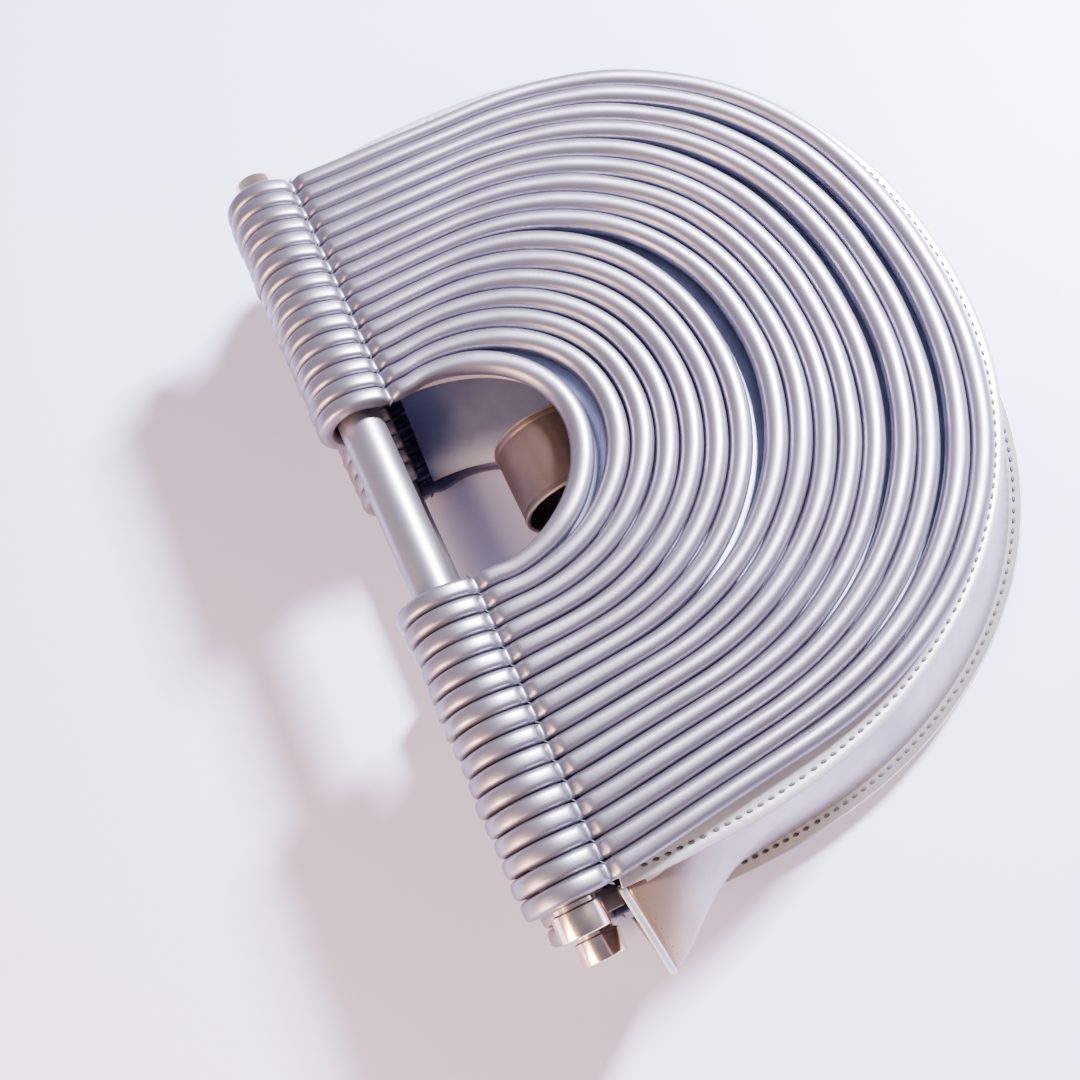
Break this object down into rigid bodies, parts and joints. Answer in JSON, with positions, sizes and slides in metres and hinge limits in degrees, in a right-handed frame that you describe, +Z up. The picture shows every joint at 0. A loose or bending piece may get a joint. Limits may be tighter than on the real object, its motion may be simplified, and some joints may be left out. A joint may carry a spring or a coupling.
{
  "type": "half moon handbag",
  "caption": "Half moon handbag of silver ribbed leather, lying on its back, with covered rods as handles, round metal caps and a folded side gusset",
  "frame": {"origin": "centre of the bag's bounding box in X and Y, on the surface that it lies on", "axes": "+X runs along the two rods, +Y points out of the mouth, away from the curved bottom, +Z points up out of the front panel"},
  "size_m": [0.3946, 0.3004, 0.0925],
  "materials": {
    "silver_leather": "satin metallic silver leather, soft sheen",
    "backing_leather": "satin metallic silver leather in the shade between the ribs",
    "smooth_leather": "smooth metallic silver leather with a pearly sheen",
    "dark_leather": "dark grey leather, satin",
    "rose_gold": "polished rose gold plating"
  },
  "bodies": {
    "root": {"back_backing": "backing_leather", "back_cap_left": "rose_gold", "back_cap_right": "rose_gold", "back_rib_01": "silver_leather", "back_rib_02": "silver_leather", "back_rib_03": "silver_leather", "back_rib_04": "silver_leather", "back_rib_05": "silver_leather", "back_rib_06": "silver_leather", "back_rib_07": "silver_leather", "back_rib_08": "silver_leather", "back_rib_09": "silver_leather", "back_rib_10": "silver_leather", "back_rib_11": "silver_leather", "back_rib_12": "silver_leather", "back_rib_13": "silver_leather", "back_rib_14": "silver_leather", "back_rib_15": "silver_leather", "back_rib_16": "silver_leather", "back_rod": "silver_leather", "closing_strap": "smooth_leather", "front_backing": "backing_leather", "front_cap_left": "rose_gold", "front_cap_right": "rose_gold", "front_rib_01": "silver_leather", "front_rib_02": "silver_leather", "front_rib_03": "silver_leather", "front_rib_04": "silver_leather", "front_rib_05": "silver_leather", "front_rib_06": "silver_leather", "front_rib_07": "silver_leather", "front_rib_08": "silver_leather", "front_rib_09": "silver_leather", "front_rib_10": "silver_leather", "front_rib_11": "silver_leather", "front_rib_12": "silver_leather", "front_rib_13": "silver_leather", "front_rib_14": "silver_leather", "front_rib_15": "silver_leather", "front_rib_16": "silver_leather", "front_rod": "silver_leather", "gusset": "smooth_leather", "strap_end": "dark_leather", "strap_end_fitting": "rose_gold", "wing_binding_left": "smooth_leather", "wing_binding_right": "smooth_leather"}
  },
  "joints": []
}
